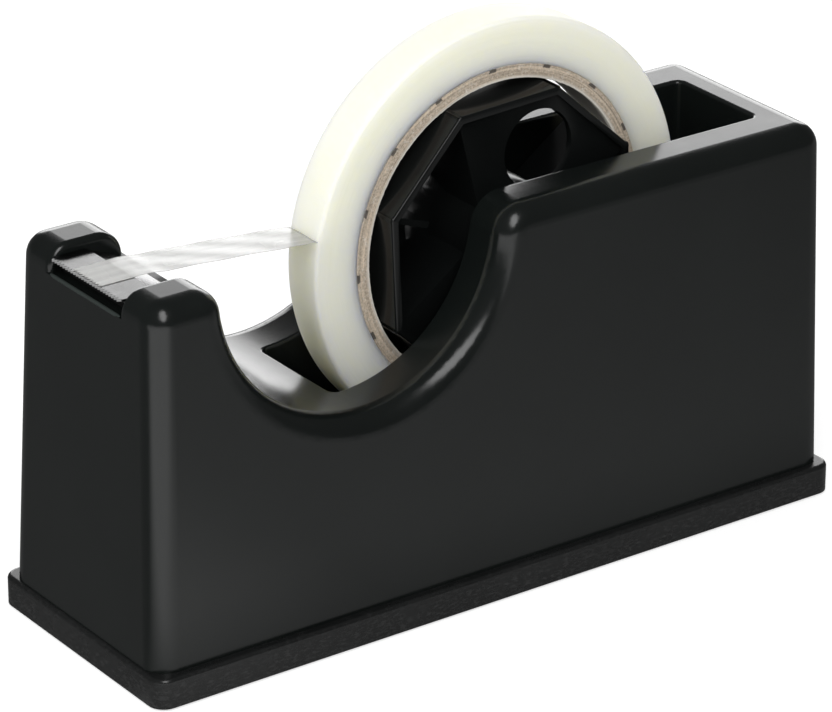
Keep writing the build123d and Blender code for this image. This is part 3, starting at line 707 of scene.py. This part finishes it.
def rounded_copy(node, name, body, material, width, rim=None):
    """A copy of a CAD node whose triangles are merged into faces and whose sharp edges are rounded.

    rim gives the radius about the spindle's axis beyond which the edges of the two end faces are
    rounded more, and by how much.
    """
    mesh = NODES[node].data.copy()
    mesh.name = name
    merged = bmesh.new()
    merged.from_mesh(mesh)
    bmesh.ops.remove_doubles(merged, verts=merged.verts, dist=0.000002)
    bmesh.ops.dissolve_limit(
        merged, angle_limit=radians(0.6), verts=merged.verts, edges=merged.edges,
        use_dissolve_boundaries=False,
    )
    if rim:
        reach, rim_width = rim
        merged.to_mesh(mesh)
        bmesh.ops.bevel(
            merged, geom=rim_edges(merged, mesh, reach), offset=rim_width, offset_type="OFFSET",
            segments=3, profile=0.5, affect="EDGES", clamp_overlap=False,
        )
    sharp = [edge for edge in merged.edges if edge.is_manifold and edge.calc_face_angle(0) > radians(38)]
    bmesh.ops.bevel(
        merged, geom=sharp, offset=width, offset_type="OFFSET", segments=2, profile=0.5, affect="EDGES",
        clamp_overlap=True, harden_normals=False,
    )
    bmesh.ops.triangulate(merged, faces=merged.faces)
    bmesh.ops.dissolve_degenerate(merged, dist=0.0000001, edges=merged.edges)
    bmesh.ops.triangulate(merged, faces=merged.faces)
    merged.to_mesh(mesh)
    merged.free()
    for attribute in ("custom_normal", "sharp_edge", "sharp_face"):
        if attribute in mesh.attributes:
            mesh.attributes.remove(mesh.attributes[attribute])
    mesh.set_sharp_from_angle(angle=radians(60))
    mesh.materials.clear()
    mesh.materials.append(material)
    piece = bpy.data.objects.new(name, mesh)
    bpy.context.scene.collection.objects.link(piece)
    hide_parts(node)
    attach(piece, body)
    return piece


# ---- Operators -------------------------------------------------------------------------------
class DISPENSER_OT_shell(bpy.types.Operator):
    """Finishes the moulded shell and its saddles"""

    bl_idname = "dispenser.shell"
    bl_label = "Shell"

    def execute(self, context):
        finish = context.scene.dispenser_finish
        plastic = moulded_plastic("shell_plastic", finish.shell_colour, finish.shell_roughness, 0.05)
        for node in ("body_shell", "near_saddle", "far_saddle"):
            dress(node, plastic)
        return {"FINISHED"}


class DISPENSER_OT_base(bpy.types.Operator):
    """Finishes the base tray, its pad and screws, and the weights inside"""

    bl_idname = "dispenser.base"
    bl_label = "Base"

    def execute(self, context):
        finish = context.scene.dispenser_finish
        dress("base_tray", moulded_plastic(
            "tray_plastic", finish.tray_colour, finish.tray_roughness, 0.16, 0.06, (0.0085, 0.004, 0.14),
        ))
        dress("base_pad", felt("pad_rubber", (0.05, 0.05, 0.052)))
        zinc = metal("zinc_steel", (0.62, 0.62, 0.63), 0.3)
        for node in ("base_screws", "weight_screws", "carrier_screws"):
            dress(node, zinc)
        iron = metal("cast_iron", (0.16, 0.16, 0.17), 0.6, (1, 1, 1), 0.8, 0.9)
        for node in ("nose_weight", "floor_weight", "near_side_weight", "far_side_weight"):
            dress(node, iron)
        return {"FINISHED"}


class DISPENSER_OT_cutter(bpy.types.Operator):
    """Finishes the blade, its bracket and its carrier"""

    bl_idname = "dispenser.cutter"
    bl_label = "Cutter"

    def execute(self, context):
        dress("cutter_blade", metal("blade_steel", (0.20, 0.20, 0.20), 0.16, (60, 1, 1)))
        dress("blade_bracket", metal("bracket_steel", (0.20, 0.20, 0.20), 0.2, (60, 1, 1)))
        dress("blade_carrier", moulded_plastic("carrier_plastic", (0.008, 0.008, 0.008), 0.4, 0.2))
        return {"FINISHED"}


class DISPENSER_OT_nose_lip(bpy.types.Operator):
    """Builds the rounded lip along the front of the nose floor, under the blade"""

    bl_idname = "dispenser.nose_lip"
    bl_label = "Nose lip"

    def execute(self, context):
        finish = context.scene.dispenser_finish
        blade_low, blade_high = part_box("cutter_blade")
        carrier_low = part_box("blade_carrier")[0]
        # The lip's colour is five times as pale as the shell's black: a painted highlight that makes the edge
        # under the blade show as a light line.
        painted_highlight_colour = tuple(5.0 * part for part in finish.shell_colour)
        plastic = moulded_plastic("lip_plastic", painted_highlight_colour, 0.5, 0.1)
        radius = 0.0005
        points, faces = round_bar(
            Vector((blade_low.x + 0.0001, 0, carrier_low.z - 0.3 * radius)), blade_high.y + 0.0002, radius,
        )
        lip = make_piece("nose_lip", points, faces, plastic)
        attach(lip, "dispenser")
        return {"FINISHED"}


class DISPENSER_OT_hub(bpy.types.Operator):
    """Finishes the adapter, hub, spindle and what turns on it"""

    bl_idname = "dispenser.hub"
    bl_label = "Hub"

    def execute(self, context):
        finish = context.scene.dispenser_finish
        plastic = moulded_plastic("hub_plastic", finish.hub_colour, finish.hub_roughness, 0.05, shine=0.3,
                                  flare=(0.01362, 0.01735, 0.003, 38.0))
        rounded_copy("core_adapter", "octagon_adapter", "wheel", plastic, 0.0004, (0.0368, 0.0007))
        dress("inner_hub", plastic)
        dress("spindle", metal("spindle_steel", (0.7, 0.7, 0.7), 0.2, (1, 60, 1)))
        dress("retaining_clips", metal("clip_steel", (0.3, 0.3, 0.31), 0.35, (1, 1, 1)))
        dress("hub_bushes", moulded_plastic("bush_acetal", (0.7, 0.69, 0.65), 0.35, 0.1))
        dress("drag_washers", felt("washer_felt", (0.2, 0.2, 0.2)))
        return {"FINISHED"}


class DISPENSER_OT_roll(bpy.types.Operator):
    """Builds the wound roll of tape in place of its solid"""

    bl_idname = "dispenser.roll"
    bl_label = "Roll"

    def execute(self, context):
        tape = context.scene.dispenser_tape
        colour = context.scene.dispenser_finish.tape_colour
        points, faces = wound_roll(tape.edge_round, tape.winding_depth, CORE_RADIUS + 0.00005)
        roll = make_piece("wound_roll", points, faces, wound_tape(tuple(colour)))
        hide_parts("tape_roll")
        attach(roll, "wheel")
        return {"FINISHED"}


class DISPENSER_OT_core(bpy.types.Operator):
    """Builds the cardboard core in place of its solid"""

    bl_idname = "dispenser.core"
    bl_label = "Core"

    def execute(self, context):
        tape = context.scene.dispenser_tape
        colour = context.scene.dispenser_finish.board_colour
        points, faces = board_ring(tape.core_bore, CORE_RADIUS, tape.frayed_edge)
        core = make_piece("board_core", points, faces, core_board(tuple(colour), tape.core_bore, CORE_RADIUS))
        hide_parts("cardboard_core")
        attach(core, "wheel")
        return {"FINISHED"}


class DISPENSER_OT_free_tape(bpy.types.Operator):
    """Builds the free end of the tape, from the roll over the blade"""

    bl_idname = "dispenser.free_tape"
    bl_label = "Free tape"

    def execute(self, context):
        tape = context.scene.dispenser_tape
        blade_low, blade_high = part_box("cutter_blade")
        centre = self.line(blade_low.x, blade_high.x, blade_high.z, tape.film_thickness)
        points, faces = film_strip(centre, HALF_TAPE - 0.0001, tape.film_thickness)
        material = tape_film(tuple(context.scene.dispenser_finish.film_colour))
        film = make_piece("free_tape", points, faces, material)
        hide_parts("tape_lead")
        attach(film, "spindle_set")
        return {"FINISHED"}

    def line(self, front, rear, top, thickness):
        """The strip's middle line from its cut end: flat on the blade, a small rise off its rear edge,
        then a shallow arch to the roll, where it meets the tread."""
        front_margin, rear_margin = 0.0004, 0.0012
        blade_gap, tread_gap = 0.00005, 0.0002
        rise_share, rise, arch = 0.18, 0.00027, 0.0012
        on_blade = np.linspace(front + front_margin, rear - rear_margin, 12)
        flat = np.stack((on_blade, np.full(12, top + blade_gap + thickness / 2)), axis=1)
        end_z = AXIS_Z + sqrt((ROLL_RADIUS + tread_gap) ** 2 - (LEAD_END_X - AXIS_X) ** 2)
        share = np.linspace(0, 1, 60)[1:]
        start_x, start_z = flat[-1]
        x = start_x + (LEAD_END_X - start_x) * share
        hump = rise * np.sin(pi * np.clip(share / rise_share, 0, 1)) * (share < rise_share)
        z = start_z + (end_z - start_z) * share + arch * share * (1 - share) + hump
        return np.concatenate((flat, np.stack((x, z), axis=1)))


class DISPENSER_OT_stage(bpy.types.Operator):
    """Sets the floor, the lamps, the room and the camera"""

    bl_idname = "dispenser.stage"
    bl_label = "Stage"

    def execute(self, context):
        stage = context.scene.dispenser_stage
        self.lay_floor(stage)
        self.light_room(context.scene, stage)
        middle = Vector((0, 0, 0.06))
        for step in range(3):
            place = Vector((0.66, 0.93, 0.36 - 0.025 * step))
            height = 0.58 - 0.05 * step
            name = f"back_lamp_{step + 1}"
            self.hang_lamp(name, "RECTANGLE", place, middle, 1.0, height, stage.back_power / 3)
        key_place = Vector((-0.31, -0.66, 0.79))
        self.hang_lamp("key_lamp", "ELLIPSE", key_place, middle, 0.48, 0.84, stage.key_power)
        side_place = Vector((-0.95, -0.15, 0.62))
        side_lamp = self.hang_lamp("side_lamp", "DISK", side_place, middle, 1.3, 1.3, stage.side_power)
        side_lamp.visible_glossy = False
        self.place_camera(context.scene, stage)
        return {"FINISHED"}

    def lay_floor(self, stage):
        """One flat pale square, a hair under the pad.

        The camera sees light added to it, so it stays white. Glossy surfaces see it as a table that is
        brightest in front of the near corner.
        """
        half = 3.0
        drop = -0.0001
        mesh = bpy.data.meshes.new("floor")
        mesh.from_pydata(
            [(-half, -half, drop), (half, -half, drop), (half, half, drop), (-half, half, drop)],
            [], [(0, 1, 2, 3)],
        )
        floor = bpy.data.objects.new("floor", mesh)
        bpy.context.scene.collection.objects.link(floor)
        material = bpy.data.materials.new("floor_paper")
        material.use_nodes = True
        tree = material.node_tree
        tree.nodes.clear()
        paper = tree.nodes.new("ShaderNodeBsdfDiffuse")
        paper.inputs["Color"].default_value = (*stage.floor_colour, 1)
        seen = tree.nodes.new("ShaderNodeLightPath")
        direct = straight_view(tree, seen)
        plain = tree.nodes.new("ShaderNodeEmission")
        tree.links.new(math_node(tree, "MULTIPLY", direct, stage.floor_glow), plain.inputs["Strength"])
        seen_plain = tree.nodes.new("ShaderNodeAddShader")
        tree.links.new(paper.outputs[0], seen_plain.inputs[0])
        tree.links.new(plain.outputs[0], seen_plain.inputs[1])
        split = tree.nodes.new("ShaderNodeSeparateXYZ")
        tree.links.new(object_place(tree), split.inputs[0])
        near = spread(tree, split.outputs["Y"], 0.0, 1.0, -0.02, -0.08)
        left = spread(tree, split.outputs["X"], 0.0, stage.gloss_corner, -0.02, -0.13)
        along = spread(tree, split.outputs["X"], 0.15, 1.0, 0.3, -0.1)
        level = math_node(tree, "MULTIPLY_ADD", along, stage.gloss_near, left)
        level = math_node(tree, "MULTIPLY_ADD", near, level, stage.gloss_low)
        shine = tree.nodes.new("ShaderNodeEmission")
        tree.links.new(level, shine.inputs["Strength"])
        both = tree.nodes.new("ShaderNodeMixShader")
        tree.links.new(seen.outputs["Is Glossy Ray"], both.inputs[0])
        tree.links.new(seen_plain.outputs[0], both.inputs[1])
        tree.links.new(shine.outputs[0], both.inputs[2])
        out = tree.nodes.new("ShaderNodeOutputMaterial")
        tree.links.new(both.outputs[0], out.inputs["Surface"])
        mesh.materials.append(material)

    def light_room(self, scene, stage):
        """The room is dim for light and white to the camera."""
        world = bpy.data.worlds.new("room")
        scene.world = world
        world.use_nodes = True
        tree = world.node_tree
        tree.nodes.clear()
        seen = tree.nodes.new("ShaderNodeLightPath")
        sky = tree.nodes.new("ShaderNodeBackground")
        direct = straight_view(tree, seen)
        step = stage.mirrored - stage.surround
        level = math_node(tree, "MULTIPLY_ADD", seen.outputs["Is Glossy Ray"], step, stage.surround)
        tree.links.new(math_node(tree, "MAXIMUM", direct, level), sky.inputs["Strength"])
        out = tree.nodes.new("ShaderNodeOutputWorld")
        tree.links.new(sky.outputs[0], out.inputs["Surface"])

    def hang_lamp(self, name, shape, place, target, width, height, power):
        """A soft lamp that faces a target."""
        data = bpy.data.lights.new(name, "AREA")
        data.shape = shape
        data.size = width
        data.size_y = height
        data.energy = power
        lamp = bpy.data.objects.new(name, data)
        lamp.location = place
        lamp.rotation_mode = "QUATERNION"
        lamp.rotation_quaternion = (target - place).to_track_quat("-Z", "Y")
        bpy.context.scene.collection.objects.link(lamp)
        return lamp

    def place_camera(self, scene, stage):
        """The camera looks along a bearing and a dip, with a small roll."""
        turn, dip, roll = stage.camera_turn, stage.camera_dip, stage.camera_roll
        forward = Vector((-sin(turn) * cos(dip), cos(turn) * cos(dip), -sin(dip)))
        level = Vector((cos(turn), sin(turn), 0))
        raised = level.cross(forward)
        right = cos(roll) * level + sin(roll) * raised
        up = -sin(roll) * level + cos(roll) * raised
        data = bpy.data.cameras.new("photo_camera")
        data.lens = stage.lens
        data.sensor_width = 36
        data.clip_start = 0.01
        camera = bpy.data.objects.new("photo_camera", data)
        axes = Matrix((right, up, -forward)).transposed()
        camera.matrix_world = Matrix.Translation(stage.camera_place) @ axes.to_4x4()
        scene.collection.objects.link(camera)
        scene.camera = camera
        scene.view_settings.view_transform = "Standard"


class DISPENSER_PT_panel(bpy.types.Panel):
    """Lists the dispenser's pieces"""

    bl_label = "Tape dispenser"
    bl_idname = "DISPENSER_PT_panel"
    bl_space_type = "VIEW_3D"
    bl_region_type = "UI"
    bl_category = "Dispenser"

    def draw(self, context):
        scene = context.scene
        for operator in OPERATORS:
            self.layout.operator(operator.bl_idname)
        for settings in (scene.dispenser_finish, scene.dispenser_tape, scene.dispenser_stage):
            box = self.layout.box()
            for label in settings.__annotations__:
                box.prop(settings, label)


OPERATORS = (
    DISPENSER_OT_stage,
    DISPENSER_OT_shell,
    DISPENSER_OT_base,
    DISPENSER_OT_cutter,
    DISPENSER_OT_nose_lip,
    DISPENSER_OT_hub,
    DISPENSER_OT_roll,
    DISPENSER_OT_core,
    DISPENSER_OT_free_tape,
)
SETTINGS = (FinishSettings, TapeSettings, StageSettings)
CLASSES = (*SETTINGS, *OPERATORS, DISPENSER_PT_panel)


def register():
    for item in CLASSES:
        bpy.utils.register_class(item)
    bpy.types.Scene.dispenser_finish = PointerProperty(type=FinishSettings)
    bpy.types.Scene.dispenser_tape = PointerProperty(type=TapeSettings)
    bpy.types.Scene.dispenser_stage = PointerProperty(type=StageSettings)


def unregister():
    del bpy.types.Scene.dispenser_stage
    del bpy.types.Scene.dispenser_tape
    del bpy.types.Scene.dispenser_finish
    for item in reversed(CLASSES):
        bpy.utils.unregister_class(item)


def main():
    register()
    bpy.ops.dispenser.stage()
    bpy.ops.dispenser.shell()
    bpy.ops.dispenser.base()
    bpy.ops.dispenser.cutter()
    bpy.ops.dispenser.nose_lip()
    bpy.ops.dispenser.hub()
    bpy.ops.dispenser.roll()
    bpy.ops.dispenser.core()
    bpy.ops.dispenser.free_tape()


if __name__ == "__main__":
    main()
